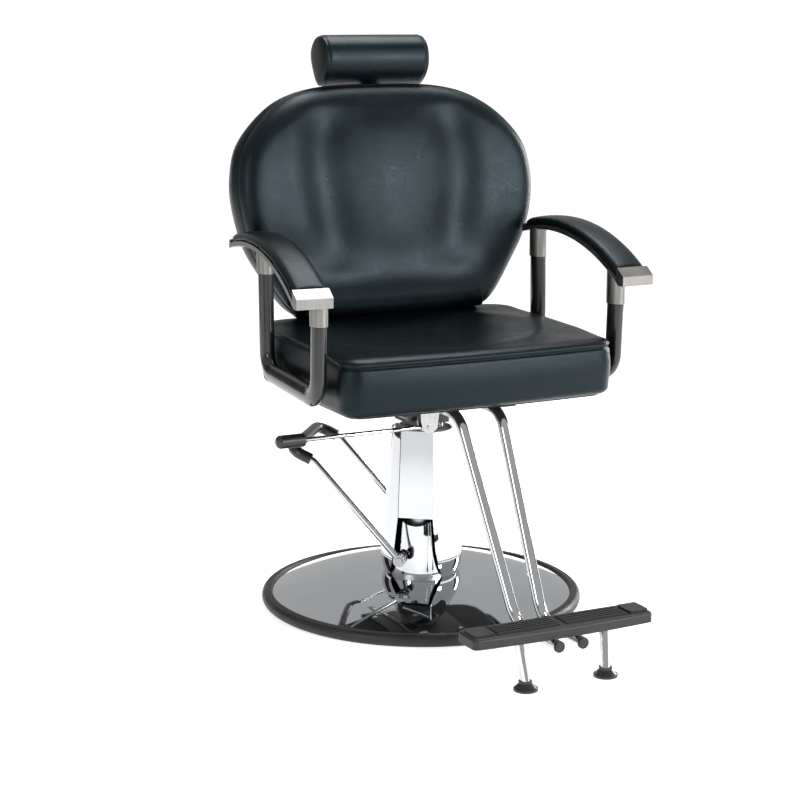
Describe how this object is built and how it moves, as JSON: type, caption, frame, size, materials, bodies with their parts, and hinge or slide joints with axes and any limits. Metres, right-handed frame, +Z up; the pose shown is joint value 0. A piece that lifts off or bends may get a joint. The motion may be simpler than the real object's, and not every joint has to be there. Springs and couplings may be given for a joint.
{
  "type": "hydraulic barber chair",
  "caption": "Padded hydraulic salon chair with a round base, pump lever, swivelling seat, reclining back, sliding headrest, arched armrests and a T-shaped footrest.",
  "frame": {"origin": "on the floor, on the lifting column's axis", "axes": "+Z up along the column, -Y the way the sitter faces at rest, +X to the sitter's left"},
  "size_m": [0.7024, 0.8487, 1.0445],
  "materials": {
    "leather": "matte",
    "chrome": "polished",
    "silver": "satin",
    "black_gloss": "gloss",
    "black_satin": "satin",
    "black_plastic": "matte",
    "rubber": "matte",
    "steel": "machined",
    "lining": "woven dust cloth",
    "wood": "raw"
  },
  "bodies": {
    "base": {"base_dome": "chrome", "base_edge_ring": "rubber", "base_stiffener": "steel", "pump_flange": "steel", "flange_bolts": "steel", "pump_block": "black_satin", "shaft_bushes": "steel", "pump_reservoir": "steel", "pump_cylinder": "steel", "pump_gland": "steel", "column_shroud": "chrome", "cover_plates": "chrome", "foot_cover": "chrome"},
    "pump_lever": {"lever_rod": "chrome", "lever_eyes": "steel", "lever_shaft": "steel", "lever_grip": "black_plastic", "return_spring": "black_satin"},
    "ram": {"ram": "chrome", "ram_piston": "steel", "ram_seal": "rubber", "thrust_washer": "steel"},
    "seat": {"seat_pedestal": "black_satin", "seat_plate": "black_satin", "seat_rails": "black_satin", "seat_bolts": "steel", "seat_board": "lining", "seat_cushion": "leather", "arm_tube_left": "black_gloss", "arm_tube_right": "black_gloss", "armrest_shell_left": "silver", "armrest_shell_right": "silver", "armrest_pad_left": "leather", "armrest_pad_right": "leather", "arm_spacers": "steel", "arm_bolts": "steel", "footrest_tubes": "chrome", "footrest_caps": "rubber", "footrest_clamp": "black_satin", "footrest_plate": "steel", "footrest_tread": "rubber", "footrest_legs": "chrome", "footrest_feet": "black_plastic", "recline_bracket": "steel", "gas_cylinder": "black_gloss"},
    "backrest": {"hinge_shaft": "steel", "hinge_arms": "black_satin", "back_screws": "steel", "recline_crank": "steel", "back_board": "wood", "back_rear_panel": "leather", "back_cushion": "leather", "headrest_guide": "black_satin"},
    "gas_rod": {"gas_rod": "steel"},
    "recline_lever": {"recline_rod": "chrome", "recline_knob": "black_plastic"},
    "headrest": {"headrest_post": "chrome", "headrest_board": "wood", "headrest_cushion": "leather"}
  },
  "joints": [
    {"name": "lever_pump", "type": "hinge", "parent": "base", "child": "pump_lever", "pos_m": [-0.01655, 0.01293, 0.099], "axis": [-0.6157, -0.788, 0], "range_deg": [0, 35], "stiffness_Nm_per_rad": 2, "springref_deg": -91.67},
    {"name": "lift", "type": "slide", "parent": "base", "child": "ram", "axis": [0, 0, 1], "range_m": [0, 0.15]},
    {"name": "swivel", "type": "hinge", "parent": "ram", "child": "seat", "pos_m": [0, 0, 0.381], "axis": [0, 0, 1], "continuous": true},
    {"name": "recline", "type": "hinge", "parent": "seat", "child": "backrest", "pos_m": [0, 0.196, 0.425], "axis": [-1, 0, 0], "range_deg": [0, 40]},
    {"name": "gas_stroke", "type": "slide", "parent": "seat", "child": "gas_rod", "axis": [0, -1, 0], "range_m": [0, 0.0384]},
    {"name": "recline_release", "type": "hinge", "parent": "seat", "child": "recline_lever", "pos_m": [-0.037, -0.095, 0.352], "axis": [0, 1, 0], "range_deg": [0, 9], "stiffness_Nm_per_rad": 2, "springref_deg": -68.75},
    {"name": "headrest_height", "type": "slide", "parent": "backrest", "child": "headrest", "axis": [0, 0.0649, 0.9979], "range_m": [0, 0.09]}
  ],
  "couplings": [
    {"joint": "gas_stroke", "follows": "recline", "m_per_rad": 0.0549}
  ]
}
